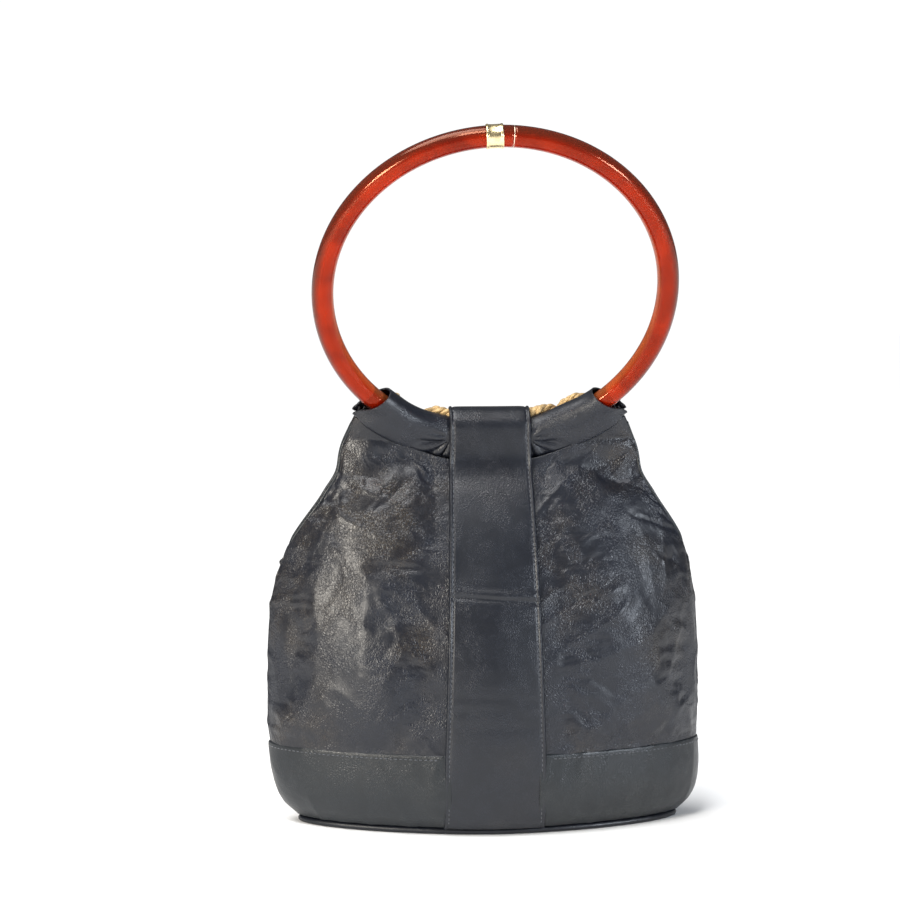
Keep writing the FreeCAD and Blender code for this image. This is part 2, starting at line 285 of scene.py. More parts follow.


# %% [markdown]
# ## Materials
# All the leather is one hide, dyed a deep slate navy. The body panels are a soft pebbled grain and
# the strap, band and edges are smoother. Grain is a cell pattern with its borders pressed in, on top
# of a finer noise, and its borders are painted darker, as painted shade in the grain's creases. The
# dye is uneven, with a warmer cast where the hide has been rubbed. The patterns read object
# coordinates, which are metres, so the grain has its real size everywhere.

# %% Node helpers
def add_node(tree, kind, settings=None, **inputs):
    """Add a shader node, set its own settings and its unlinked inputs."""
    node = tree.nodes.new(kind)
    for key, value in (settings or {}).items():
        setattr(node, key, value)
    for key, value in inputs.items():
        node.inputs[key.replace("_", " ")].default_value = value
    return node


def noise_at(tree, place, **inputs):
    """Noise texture read at a place socket."""
    node = add_node(tree, "ShaderNodeTexNoise", **inputs)
    tree.links.new(place, node.inputs["Vector"])
    return node


def raise_surface(tree, shader, height, strength, depth):
    """Bump a shader's surface by a height socket."""
    bump = add_node(tree, "ShaderNodeBump", Strength=strength, Distance=depth)
    tree.links.new(height, bump.inputs["Height"])
    tree.links.new(bump.outputs["Normal"], shader.inputs["Normal"])


def start_material(name, colour, roughness):
    """A material with its Principled shader and its object coordinates."""
    material = bpy.data.materials.new(name)
    material.use_nodes = True
    tree = material.node_tree
    shader = tree.nodes["Principled BSDF"]
    shader.inputs["Base Color"].default_value = (*colour, 1)
    shader.inputs["Roughness"].default_value = roughness
    coordinates = tree.nodes.new("ShaderNodeTexCoord")
    return material, tree, shader, coordinates.outputs["Object"]


def blend_values(tree, first, second, factor):
    """first * factor + second, as a Math node. second may be None."""
    node = add_node(tree, "ShaderNodeMath", {"operation": "MULTIPLY_ADD"})
    tree.links.new(first, node.inputs[0])
    node.inputs[1].default_value = factor
    if second is not None:
        tree.links.new(second, node.inputs[2])
    else:
        node.inputs[2].default_value = 0.0
    return node.outputs[0]


def remap(tree, value, low, high, to_low, to_high):
    """Map Range node, eased at both ends."""
    node = add_node(tree, "ShaderNodeMapRange", {"interpolation_type": "SMOOTHSTEP"},
                    From_Min=low, From_Max=high, To_Min=to_low, To_Max=to_high)
    tree.links.new(value, node.inputs["Value"])
    return node.outputs["Result"]


def mix_colours(tree, factor, first, second):
    """Mix two colours by a factor socket. A colour may be a socket or three numbers."""
    node = add_node(tree, "ShaderNodeMix", {"data_type": "RGBA"})
    tree.links.new(factor, node.inputs["Factor"])
    for socket, colour in ((node.inputs[6], first), (node.inputs[7], second)):
        if isinstance(colour, tuple):
            socket.default_value = (*colour, 1)
        else:
            tree.links.new(colour, socket)
    return node.outputs[2]


# %% Leather
def make_leather(name, dye, rubbed, pebble, crease_depth, roughness):
    """Dyed hide. pebble is the size of one grain in metres, crease_depth how deep it is pressed."""
    material, tree, shader, place = start_material(name, dye, roughness)
    link = tree.links.new
    stretch = add_node(tree, "ShaderNodeMapping", Scale=(1.0, 1.0, 0.8), Rotation=(0.0, 0.5, 0.0))
    link(place, stretch.inputs["Vector"])
    warp = noise_at(tree, place, Scale=0.35 / pebble, Detail=3.0)
    bent = add_node(tree, "ShaderNodeVectorMath", {"operation": "MULTIPLY_ADD"})
    link(warp.outputs["Color"], bent.inputs[0])
    bent.inputs[1].default_value = (1.3 * pebble,) * 3
    link(stretch.outputs["Vector"], bent.inputs[2])
    cells = add_node(tree, "ShaderNodeTexVoronoi", {"feature": "DISTANCE_TO_EDGE"},
                     Scale=1 / pebble)
    link(bent.outputs["Vector"], cells.inputs["Vector"])
    plump = remap(tree, cells.outputs["Distance"], 0.0, 0.24, 0.0, 1.0)
    pores = noise_at(tree, place, Scale=3.2 / pebble, Detail=5.0, Roughness=0.6)
    folds = noise_at(tree, stretch.outputs["Vector"], Scale=0.10 / pebble,
                     Detail=6.0, Roughness=0.55, Distortion=0.8)
    strength = remap(tree, folds.outputs["Fac"], 0.35, 0.65, 0.10, 1.0)
    grain = add_node(tree, "ShaderNodeMath", {"operation": "MULTIPLY"})
    link(plump, grain.inputs[0])
    link(strength, grain.inputs[1])
    height = blend_values(tree, pores.outputs["Fac"], grain.outputs[0], 0.45)
    height = blend_values(tree, folds.outputs["Fac"], height, 0.7)
    raise_surface(tree, shader, height, 1.0, crease_depth)
    patches = noise_at(tree, place, Scale=14.0, Detail=5.0, Roughness=0.6)
    wear = remap(tree, patches.outputs["Fac"], 0.44, 0.74, 0.0, 1.0)
    colour = mix_colours(tree, wear, dye, rubbed)
    # Painted shade: a darker copy of the dye is painted into the grain's pressed-in borders, where
    # shade falls in the creases.
    crease_shade = tuple(0.62 * channel for channel in dye)
    pressed = remap(tree, grain.outputs[0], 0.0, 0.7, 0.25, 1.0)
    colour = mix_colours(tree, pressed, crease_shade, colour)
    link(colour, shader.inputs["Base Color"])
    polish = blend_values(tree, patches.outputs["Fac"], pores.outputs["Fac"], 1.2)
    gloss = remap(tree, polish, 0.8, 1.5, roughness + 0.10, roughness - 0.08)
    link(gloss, shader.inputs["Roughness"])
    shader.inputs["Specular IOR Level"].default_value = 0.38
    return material


slate = (0.0072, 0.0090, 0.0150)
faint_wear = (0.015, 0.015, 0.018)
body_leather = make_leather("pebbled slate leather", slate, (0.030, 0.024, 0.018),
                            1.9 * MM, 0.16 * MM, 0.32)
casing_leather = make_leather("casing leather", slate, faint_wear, 1.6 * MM, 0.15 * MM, 0.33)
strap_leather = make_leather("smooth slate leather", (0.0070, 0.0088, 0.0140), faint_wear,
                             1.5 * MM, 0.07 * MM, 0.32)
band_leather = make_leather("band leather", (0.0080, 0.0108, 0.0140), (0.016, 0.018, 0.019),
                            1.6 * MM, 0.09 * MM, 0.32)
print("leathers made")


# %% Acrylic, gilt metal, rope yarn, thread, lining, board
def make_acrylic():
    """Clear amber red acrylic, with painted shade, browner, along the outside of the bend, and
    painted light, more orange, along the inside.
    """
    material, tree, shader, place = start_material("amber acrylic", (0.62, 0.035, 0.004), 0.06)
    link = tree.links.new
    shader.inputs["Transmission Weight"].default_value = 0.62
    shader.inputs["IOR"].default_value = 1.45
    shader.inputs["Specular Tint"].default_value = (1.0, 0.42, 0.25, 1)
    swirl = noise_at(tree, place, Scale=26.0, Detail=3.0, Distortion=1.2)
    depth = remap(tree, swirl.outputs["Fac"], 0.35, 0.7, 0.0, 1.0)
    colour = mix_colours(tree, depth, (0.42, 0.018, 0.002), (0.20, 0.006, 0.0015))
    reach = add_node(tree, "ShaderNodeVectorMath", {"operation": "DISTANCE"})
    link(place, reach.inputs[0])
    reach.inputs[1].default_value = ring_centre
    distance = reach.outputs["Value"]
    # Painted shade: the rod is painted dark brown towards its outer surface, away from the ring's
    # centre.
    outer = remap(tree, distance, ring_radius + 0.25 * rod_radius,
                  ring_radius + 0.95 * rod_radius, 0.0, 1.0)
    colour = mix_colours(tree, outer, colour, (0.075, 0.018, 0.010))
    # Painted light: the rod is painted a lighter orange towards its inner surface, nearer the ring's
    # centre.
    inner = remap(tree, distance, ring_radius - 0.55 * rod_radius,
                  ring_radius - rod_radius, 0.0, 0.8)
    colour = mix_colours(tree, inner, colour, (0.42, 0.12, 0.035))
    link(colour, shader.inputs["Base Color"])
    gloss = remap(tree, swirl.outputs["Fac"], 0.3, 0.7, 0.10, 0.16)
    link(gloss, shader.inputs["Roughness"])
    return material


def make_gilt(name, colour, roughness, grain_scale):
    """Plated metal with fine polishing marks and a little tarnish."""
    material, tree, shader, place = start_material(name, colour, roughness)
    shader.inputs["Metallic"].default_value = 1.0
    marks = noise_at(tree, place, Scale=grain_scale, Detail=4.0)
    tarnish = remap(tree, marks.outputs["Fac"], 0.45, 0.8, 0.0, 1.0)
    dull = tuple(0.72 * channel for channel in colour)
    tree.links.new(mix_colours(tree, tarnish, colour, dull), shader.inputs["Base Color"])
    gloss = remap(tree, marks.outputs["Fac"], 0.3, 0.7, roughness - 0.05, roughness + 0.1)
    tree.links.new(gloss, shader.inputs["Roughness"])
    return material


def make_fabric(name, colour, light, pitch, roughness, depth):
    """Woven or spun fibre: two crossed waves, broken up by noise, with painted shade in its hollows
    and painted light on its raised threads.
    """
    material, tree, shader, place = start_material(name, colour, roughness)
    height = None
    for axis in ("X", "Z"):
        wave = add_node(tree, "ShaderNodeTexWave", {"bands_direction": axis},
                        Scale=0.3 / pitch, Distortion=0.6)
        tree.links.new(place, wave.inputs["Vector"])
        height = blend_values(tree, wave.outputs["Fac"], height, 0.5)
    fibre = noise_at(tree, place, Scale=1.5 / pitch, Detail=3.0)
    height = blend_values(tree, fibre.outputs["Fac"], height, 0.4)
    raise_surface(tree, shader, height, 0.8, depth)
    # Painted shade and light: the colour follows the bump height, darker in the hollows between
    # threads and lighter on the raised threads.
    painted_thread_shade = remap(tree, height, 0.3, 1.1, 0.0, 1.0)
    tree.links.new(mix_colours(tree, painted_thread_shade, colour, light), shader.inputs["Base Color"])
    shader.inputs["Sheen Weight"].default_value = 0.25
    return material


acrylic = make_acrylic()
gilt = make_gilt("pale gilt", (0.80, 0.66, 0.38), 0.24, 400.0)
pin_brass = make_gilt("pin brass", (0.72, 0.55, 0.28), 0.3, 600.0)
yarn = make_fabric("gold yarn", (0.28, 0.17, 0.06), (0.60, 0.42, 0.19), 0.5 * MM, 0.42, 0.12 * MM)
yarn.node_tree.nodes["Principled BSDF"].inputs["Metallic"].default_value = 0.25
thread = make_fabric("navy thread", (0.022, 0.025, 0.033), (0.050, 0.055, 0.068),
                     0.25 * MM, 0.55, 0.05 * MM)
lining_cloth = make_fabric("lining cloth", (0.018, 0.019, 0.024), (0.036, 0.037, 0.045),
                           0.5 * MM, 0.75, 0.06 * MM)
fibre_board = make_fabric("fibre board", (0.25, 0.19, 0.13), (0.36, 0.29, 0.2),
                          1.2 * MM, 0.85, 0.08 * MM)
cement = make_gilt("cement line", (0.93, 0.80, 0.62), 0.35, 300.0)
print("hard and woven materials made")


# %% [markdown]
# ## Body panels
# Four panels make the body: two in front and two behind, sewn under the strap, at the sides, to the
# band below and to the casings above. Each one is a grid laid on the outline. It is then left to
# settle as cloth, pinned along its seams, a little too large for its frame, so that it swells and
# creases as worn leather does between stitches. Smaller creases are pressed in afterwards.

# %% Settle leather as cloth
SETTLE_FRAMES = 16
LARGEST_SWELL = 5 * MM
LARGEST_SINK = 0.8 * MM


def settle(piece, pinned, slack, swell):
    """Let a sheet swell and crease between its pinned edges, then keep that shape.

    The lining lies just behind, so a point may sink much less than it may swell.
    """
    rest = [vert.co.copy() for vert in piece.data.vertices]
    facing = [vert.normal.copy() for vert in piece.data.vertices]
    group = piece.vertex_groups.new(name="seams")
    for vert in piece.data.vertices:
        hold = pinned(vert.index)
        if hold > 0:
            group.add([vert.index], hold, "REPLACE")
    cloth = piece.modifiers.new("settle", "CLOTH")
    rules = cloth.settings
    rules.quality = 5
    rules.mass = 0.35
    rules.tension_stiffness = 20
    rules.compression_stiffness = 20
    rules.shear_stiffness = 8
    rules.bending_stiffness = 0.35
    rules.tension_damping = 12
    rules.compression_damping = 12
    rules.shear_damping = 12
    rules.vertex_group_mass = "seams"
    rules.shrink_min = -slack
    rules.use_pressure = True
    rules.uniform_pressure_force = swell
    rules.effector_weights.gravity = 0.0
    cloth.collision_settings.use_collision = False
    cloth.point_cache.frame_end = SETTLE_FRAMES
    scene = bpy.context.scene
    for frame_number in range(1, SETTLE_FRAMES + 1):
        scene.frame_set(frame_number)
    seen = piece.evaluated_get(bpy.context.evaluated_depsgraph_get())
    moved = [vert.co.copy() for vert in seen.data.vertices]
    piece.modifiers.remove(cloth)
    scene.frame_set(1)
    largest = 0.0
    for vert, before, after, out in zip(piece.data.vertices, rest, moved, facing):
        step = after - before
        largest = max(largest, step.length)
        inward = -step.dot(out) - LARGEST_SINK
        if inward > 0:
            step += out * inward
        if step.length > LARGEST_SWELL:
            step *= LARGEST_SWELL / step.length
        vert.co = before + step
    print(piece.name, "settled, largest move %.1f mm" % (largest / MM))


def press_creases(piece, depth, fine, direction, seed):
    """Long creases across a direction, with finer ones between, pressed along the normals."""
    mesh = piece.data
    normals = [vert.normal.copy() for vert in mesh.vertices]
    turn = Vector(direction).normalized()
    shift = Vector((seed * 3.1, seed * 1.7, seed * 2.3))
    for vert, normal in zip(mesh.vertices, normals):
        along = vert.co.dot(turn)
        place = vert.co - 0.72 * along * turn
        wander = noise.noise_vector(vert.co * 16 + shift) * 0.012
        broad = 1 - 2 * abs(noise.noise((place + wander) * 34 + shift))
        small = 1 - 2 * abs(noise.noise((vert.co + wander) * 120 + shift))
        press = depth * (max(broad, 0.25) ** 3 - 0.35) + fine * max(small, 0.2) ** 2
        vert.co += normal * press
    mesh.update()


# %% The four panels
# Height and full width of the strap, in millimetres.
STRAP_WIDTHS = ((0.0, 70.0), (band_top / MM, 70.0), (ring_foot.z / MM / 2, 65.0),
                (ring_foot.z / MM, 57.0), (400.0, 57.0))
UNDER_BAND = 5 * MM
UNDER_CASING = 1.5 * MM
UNDER_STRAP = 7 * MM
PANEL_ACROSS = 84
PANEL_ALONG = 130
FOOT_ROWS, SEAM_ROWS, STRAP_COLUMNS, SIDE_COLUMNS = 4, 3, 9, 1


def strap_half(height):
    """Half the strap's width at a height."""
    z = height / MM
    for (low, wide), (high, narrow) in zip(STRAP_WIDTHS, STRAP_WIDTHS[1:]):
        if z <= high:
            return MM * (wide + (narrow - wide) * (z - low) / (high - low)) / 2
    return MM * STRAP_WIDTHS[-1][1] / 2


def soft_folds(point, face, side):
    """Long soft folds that hang from the corners beside the strap, as a height over the outline."""
    shift = Vector((face * 2.7, 0.4, side * 5.3))
    drop = abs(point.x) + 0.34 * point.z
    broad = 1 - 2 * abs(noise.noise(Vector((drop * 16, 0.0, point.z * 3.6)) + shift))
    narrow = 1 - 2 * abs(noise.noise(Vector((drop * 36, 3.0, point.z * 7)) + shift))
    cross = noise.noise(Vector((point.x * 17, 7.0, point.z * 21)) + shift)
    return (5.0 * broad + 2.0 * narrow + 1.3 * cross - 2.0) * MM


def panel_place(face, side):
    """Where a panel's grid lies: from the strap to the side, and from the foot to the seam."""
    def place(across, up):
        foot = band_top - UNDER_BAND
        x = 0.0
        # The seam's height depends on x, and x on the height, so a few rounds settle both.
        for _ in range(5):
            top = seam_height(x, face) + UNDER_CASING
            height = foot + up * (top - foot)
            inner = turn_at(strap_half(height) - UNDER_STRAP, height)
            outer = mouth_turn(height)
            turn = inner + (outer - inner) * across
            x = skin(face, turn, height).x
        window = smooth_step(across, 0.10, 0.30) * (1 - smooth_step(across, 0.80, 1.0))
        window *= smooth_step(up, 0.03, 0.16) * (1 - smooth_step(up, 0.86, 0.98))
        fold = window * soft_folds(skin(face, turn, height), face, side)
        point = skin(face, turn, height, fold)
        point.x *= side
        return slump(point)
    return place


def seam_hold(index):
    """Hold the points of a panel's grid that lie under a seam, and partly the two rows beside."""
    row, column = divmod(index, PANEL_ACROSS + 1)
    inside = min(row - FOOT_ROWS, PANEL_ALONG - SEAM_ROWS - row,
                 column - STRAP_COLUMNS, PANEL_ACROSS - SIDE_COLUMNS - column)
    return 1.0 if inside < 0 else (0.35 if inside < 2 else 0.0)


panels = []
for face, face_name in FACES:
    for side, side_name in SIDES:
        node = "%s_%s_panel" % (face_name, side_name)
        piece = sheet("leather_" + node, panel_place(face, side), PANEL_ACROSS, PANEL_ALONG,
                      body_leather, flip=(face * side > 0))
        settle(piece, seam_hold, slack=0.018, swell=11.0)
        press_creases(piece, 0.9 * MM, 0.22 * MM, (side * 0.75, 0, 0.65), seed=face + 2 * side)
        smoother(piece)
        thicken(piece, leather_wall)
        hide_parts(node)
        bend_with_handle(piece, side)
        panels.append(piece)
print("panels:", [piece.name for piece in panels])

# %% [markdown]
# ## Base band
# A plain band wraps the foot of the bag. Its top edge is turned in and sewn over the panels with one
# row of stitches, so it stands a little proud, and it swells outwards between its edges.

# %% The two bands
BAND_ACROSS = 150
BAND_ALONG = 30
BAND_UNDER_STRAP = 5 * MM
BAND_BULGE = 2.0 * MM


def band_place(side):
    """First share runs from the front strap round the side to the back strap."""
    def place(across, up):
        height = band_foot + up * (band_top - band_foot)
        under = turn_at(strap_half(height) - BAND_UNDER_STRAP, height)
        swing = 2 * across - 1
        face = -1 if swing < 0 else 1
        turn = under * abs(swing)
        proud = 0.9 * MM * smooth_step(up, 0.0, 0.35)
        edge = 1 - smooth_step(up, 0.965, 1.0)
        proud = proud * (0.35 + 0.65 * edge) + BAND_BULGE * math.sin(math.pi * up) ** 1.5
        point = skin(face, turn, height, proud)
        point.x *= side
        return slump(point)
    return place


for side, side_name in SIDES:
    piece = sheet("leather_band_" + side_name, band_place(side), BAND_ACROSS, BAND_ALONG,
                  band_leather, flip=(side < 0))
    press_creases(piece, 0.6 * MM, 0.12 * MM, (0.2, 0, 1.0), seed=5 + side)
    smoother(piece)
    thicken(piece, leather_wall, rounded=True)
    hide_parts("base_band_" + side_name)
    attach(piece, "bag")
print("base bands made")

# %% [markdown]
# ## Strap
# One flat strap carries the load. It runs up the front, over the ring and the rope, and down the
# back. Its edges are turned under, which leaves a soft raised rib along each side, and the stitches
# lie in the groove beside the rib. It is made in two halves that meet at the crown, and the columns
# of its grid are crowded towards the edges, where the rib is.

# %% Strap halves
STRAP_ACROSS = 64
STRAP_ALONG = 230
STRAP_WALL = 2.0 * MM
RIB_INSET = 1.3 * MM
GROOVE_INSET = 2.9 * MM
MAIN_CREASE = 165 * MM
strap_proud = 2.4 * MM
strap_leg = neck_half_depth + strap_proud + 1.2 * MM
strap_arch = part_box("strap_loop")[1][2] - strap_leg - 1.3 * MM
strap_foot = 4.6 * MM
crown_length = math.pi / 2 * strap_leg
strap_length = strap_arch - strap_foot + crown_length


def hump(distance, width):
    """1 at no distance, falling smoothly to 0 over about two widths."""
    return math.exp(-(distance / width) ** 2)


def strap_relief(across, height, x):
    """Rib, groove and rounded edge across the strap, and the creases that use has pressed in."""
    from_edge = (1 - abs(across)) * strap_half(height)
    rib = 0.55 * MM * hump(from_edge - RIB_INSET, 0.85 * MM)
    groove = -0.45 * MM * hump(from_edge - GROOVE_INSET, 0.55 * MM)
    edge = -1.1 * MM * (1 - smooth_step(from_edge, -0.1 * MM, 0.7 * MM))
    main = MAIN_CREASE - 0.07 * x
    crease = -1.1 * MM * hump(height - main, 1.6 * MM)
    lip = 0.8 * MM * hump(height - main - 4 * MM, 3.0 * MM)
    ripple = noise.noise(Vector((x * 14, 0.3, height * 190)))
    zone = hump(height - 162 * MM, 24 * MM) + 0.8 * hump(height - 88 * MM, 18 * MM)
    slow = noise.noise(Vector((x * 12, 4.1, height * 24))) * 0.9 * MM
    slow *= smooth_step(from_edge, 0, 8 * MM)
    return rib + groove + edge + crease + lip + 0.38 * MM * zone * ripple + slow


def strap_place(face):
    """Second share runs from the foot up the face and on to the crown of the loop."""
    def place(across, up):
        s = math.sin((2 * across - 1) * math.pi / 2)
        run = up * strap_length
        if run <= strap_arch - strap_foot:
            height = strap_foot + run
            x = s * strap_half(height)
            relief = strap_relief(s, height, x)
            on_skin = skin(face, turn_at(x, height), height, strap_proud + relief)
            on_leg = face * (strap_leg + relief)
            share = smooth_step(height, ring_foot.z - 16 * MM, ring_foot.z)
            return Vector((x, on_skin.y + (on_leg - on_skin.y) * share, height))
        turn = (run - (strap_arch - strap_foot)) / strap_leg
        x = s * strap_half(strap_arch)
        reach = strap_leg + strap_relief(s, strap_arch, x)
        return Vector((x, face * reach * math.cos(turn), strap_arch + reach * math.sin(turn)))
    return place


for face, face_name in FACES:
    piece = sheet("leather_strap_" + face_name, strap_place(face), STRAP_ACROSS, STRAP_ALONG,
                  strap_leather, flip=(face > 0))
    thicken(piece, STRAP_WALL)
    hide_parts("strap_" + face_name, "strap_loop")
    bend_with_handle(piece, 0)
print("strap %.0f mm from the base to the crown" % (strap_length / MM))

# %% [markdown]
# ## Casings
# A casing is a folded hem that the ring runs through. Its section goes up the front, round the rod
# and down the back, and it follows the ring's own arc. The strap pulls it together in the middle,
# so creases fan out from the strap's corners.

# %% Casing grids
CASING_ACROSS = 72
CASING_ALONG = 96
CASING_WALL = 1.4 * MM
FIRST_ANGLE = 7.0
END_INSET = 5.5
END_SLANT = 4.0
FOLD_SHARE = 0.46


def ring_point(radius, angle, back=0.0):
    """Point in the ring's own frame: angle from its lowest point, positive towards +X."""
    outwards = Vector((math.sin(angle), 0, 0)) - ring_up * math.cos(angle)
    return ring_centre + outwards * radius + ring_axis * back


def seam_reach(angle):
    """Distance from the ring's centre to the casing's seam, along an angle."""
    lift = seam_radius - seam_drop - ring_radius
    return -lift * math.cos(angle) + math.sqrt(seam_radius ** 2 - (lift * math.sin(angle)) ** 2)


def wall_depth(point):
    """Half the thickness of the flattened leather at a place below the fold."""
    wide, deep, full, roundness = station(point.z)
    share = min(abs(point.x) / wide, 0.995)
    return max(deep * (1 - share ** full) ** roundness, 4.6 * MM) * math.cos(lean)


def casing_place(side):
    """First share runs from front seam over the fold to back seam, second from strap to end."""
    def place(section, along):
        s = 2 * section - 1
        face = -1 if s < 0 else 1
        s = abs(s)
        last = casing_half_angle - END_INSET + END_SLANT * smooth_step(s, 0.0, 1.0)
        angle = math.radians(FIRST_ANGLE + (last - FIRST_ANGLE) * along)
        seam = seam_reach(angle)
        if s < FOLD_SHARE:
            turn = s / FOLD_SHARE * math.pi / 2
            radius = ring_radius - casing_radius * math.cos(turn)
            back = casing_radius * math.sin(turn)
        else:
            t = (s - FOLD_SHARE) / (1 - FOLD_SHARE)
            radius = ring_radius + t * (seam - ring_radius)
            flat = wall_depth(ring_point(radius, angle)) + 0.9 * MM
            pinch = 1 - 0.35 * smooth_step(along, 0.86, 1.0)
            back = casing_radius + (flat * pinch - casing_radius) * smooth_step(t, 0.0, 0.9)
            back -= 1.1 * MM * smooth_step(t, 0.93, 1.0)
        point = ring_point(radius, angle, face * back)
        corner = ring_point(ring_radius - 2 * MM, math.radians(14), face * casing_radius)
        away = point - corner
        distance = away.length
        spoke = math.atan2(away.dot(ring_up), abs(away.x) + 1e-6)
        wobble = noise.noise(point * 60 + Vector((side, face, 0)))
        fan = math.sin(spoke * 11 + 2.2 * wobble + side) * math.exp(-distance / (20 * MM))
        fan *= smooth_step(distance, 0.5 * MM, 7 * MM) * smooth_step(s, 0.15, 0.5)
        ruffle = 0.5 + 0.5 * math.sin(9.0 * along + 1.6 * side + 0.8)
        lift = 1.3 * MM * ruffle * (1 - smooth_step(s, 0.05, 0.4)) * smooth_step(along, 0.1, 0.3)
        soft = noise.noise(point * 95 + Vector((3 * side, 1, 0))) * 0.4 + wobble * 0.5
        edge = (1 - smooth_step(s, 0.94, 1.0)) * (1 - 0.8 * smooth_step(along, 0.85, 1.0))
        if s < FOLD_SHARE:
            out = (point - ring_point(ring_radius, angle)).normalized()
        else:
            out = ring_axis * face
        point += out * ((1.25 * MM * fan + 0.55 * MM * soft) * edge + lift)
        point.x *= side
        return point
    return place


for side, side_name in SIDES:
    piece = sheet("leather_casing_" + side_name, casing_place(side), CASING_ACROSS, CASING_ALONG,
                  casing_leather, flip=(side < 0))
    smoother(piece)
    thicken(piece, CASING_WALL)
    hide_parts("casing_" + side_name)
    bend_with_handle(piece, side)
print("casings made")

# %% [markdown]
# ## Edges, stitches and the rolled base
# A mouth is finished with a narrow bound edge, and the base with a roll of leather over a core.
# Both are tubes, so one helper sweeps a small circle along a line of points. Stitches are tiny
# beads of thread, laid at a steady pitch along a line, each turned to follow it.

# %% Sweep and stitch helpers
def frames_along(points, closed):
    """Each point of a line, with the line's direction there."""
    count = len(points)
    for i, point in enumerate(points):
        before = points[(i - 1) % count] if closed or i else point
        after = points[(i + 1) % count] if closed or i < count - 1 else point
        yield point, (after - before).normalized()


def sweep(bm, points, radius, sides, up, closed=False, lobes=0, twist=0.0):
    """Extrude a small ring of edges along points. Lobes and twist give it a spun surface."""
    def loop_edges(ring):
        return [bm.edges.get((ring[k], ring[(k + 1) % sides])) for k in range(sides)]

    rings = []
    for i, (point, heading) in enumerate(frames_along(points, closed)):
        right = heading.cross(up).normalized()
        over = right.cross(heading)
        turn = twist * i
        if not rings:
            ring = bmesh.ops.create_circle(bm, segments=sides, radius=radius)["verts"]
        else:
            made = bmesh.ops.extrude_edge_only(bm, edges=loop_edges(ring))["geom"]
            fresh = {item for item in made if isinstance(item, bmesh.types.BMVert)}
            ring = [next(e.other_vert(v) for e in v.link_edges if e.other_vert(v) in fresh)
                    for v in ring]
        for k, vert in enumerate(ring):
            angle = 2 * math.pi * k / sides
            swell = 1 + (0.13 * math.cos(lobes * (angle + turn)) if lobes else 0)
            reach = radius * swell
            vert.co = point + right * reach * math.cos(angle) + over * reach * math.sin(angle)
        rings.append(ring)
    if closed:
        bmesh.ops.bridge_loops(bm, edges=loop_edges(rings[0]) + loop_edges(rings[-1]))
    else:
        for ring in (rings[0], rings[-1]):
            bmesh.ops.contextual_create(bm, geom=ring)
    bmesh.ops.recalc_face_normals(bm, faces=bm.faces)


def evenly(points, pitch):
    """Places and headings at a steady pitch along a line of points."""
    left = pitch / 2
    for start, end in zip(points, points[1:]):
        step = end - start
        length = step.length
        while left <= length and length > 0:
            yield start + step * (left / length), step / length
            left += pitch
        left -= length


STITCH_PITCH = 3.5 * MM
STITCH_LENGTH = 2.5 * MM
THREAD_RADIUS = 0.36 * MM


def stitch_row(name, points, body_side):
    """Thread stitches along a line. body_side is a side, whose stitches are only baked in place, or
    None to ride the bag.
    """
    bm = bmesh.new()
    stitches = list(evenly(points, STITCH_PITCH))
    size = Matrix.Diagonal((STITCH_LENGTH / 2, THREAD_RADIUS, THREAD_RADIUS, 1))
    for place, heading in stitches:
        turn = heading.to_track_quat("X", "Z").to_matrix().to_4x4()
        bmesh.ops.create_uvsphere(bm, u_segments=6, v_segments=5, radius=1.0,
                                  matrix=Matrix.Translation(place) @ turn @ size)
    piece = new_piece(name, bm, thread)
    if body_side is None:
        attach(piece, "bag")
    else:
        bend_with_handle(piece, body_side)
    print(name, len(stitches), "stitches")


# %% Stitch rows, mouth edges and the base roll
BAND_STITCH_INSET = 3.2 * MM
MOUTH_TOP_X = 0.092
MOUTH_EDGE_RADIUS = 1.2 * MM


def strap_line(face, side):
    """The groove beside the strap's rib, from the foot to just short of the crown."""
    points = []
    place = strap_place(face)
    for i in range(STRAP_ALONG - 6):
        up = (i + 3) / STRAP_ALONG
        height = strap_foot + up * strap_length
        share = 1 - GROOVE_INSET / strap_half(min(height, strap_arch))
        across = (math.asin(side * share) / (math.pi / 2) + 1) / 2
        points.append(place(across, up) + Vector((0, face * 0.12 * MM, 0)))
    return points


for face, face_name in FACES:
    for side, side_name in SIDES:
        stitch_row("stitches_strap_%s_%s" % (face_name, side_name), strap_line(face, side), 0)

for side, side_name in SIDES:
    place = band_place(side)
    row = 1 - BAND_STITCH_INSET / (band_top - band_foot)
    line = [place(i / 300, row) for i in range(8, 293)]
    outward = [Vector((p.x * 0.35, p.y, 0)).normalized() * 0.15 * MM for p in line]
    stitch_row("stitches_band_" + side_name, [p + o for p, o in zip(line, outward)], None)


def mouth_line(side):
    """Down the front edge of a mouth and up its back edge, sunk into the leather at the bottom."""
    rise = seam_height(MOUTH_TOP_X, -1) - mouth_bottom - 3 * MM
    heights = [mouth_bottom + 1 * MM + i / 40 * rise for i in range(41)]
    line = []
    for face, run in ((-1, reversed(heights)), (1, heights)):
        for height in run:
            low = 1 - smooth_step(height, mouth_bottom, mouth_bottom + 16 * MM)
            sunk = -0.6 * MM - 2.4 * MM * low
            line.append(skin(face, mouth_turn(height), height, sunk))
    return [slump(Vector((side * p.x, p.y, p.z))) for p in line]


for side, side_name in SIDES:
    bm = bmesh.new()
    sweep(bm, mouth_line(side), MOUTH_EDGE_RADIUS, 10, up=Vector((side, 0, 0.2)))
    piece = new_piece("leather_mouth_edge_" + side_name, bm, band_leather)
    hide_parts("mouth_binding_" + side_name)
    bend_with_handle(piece, side)

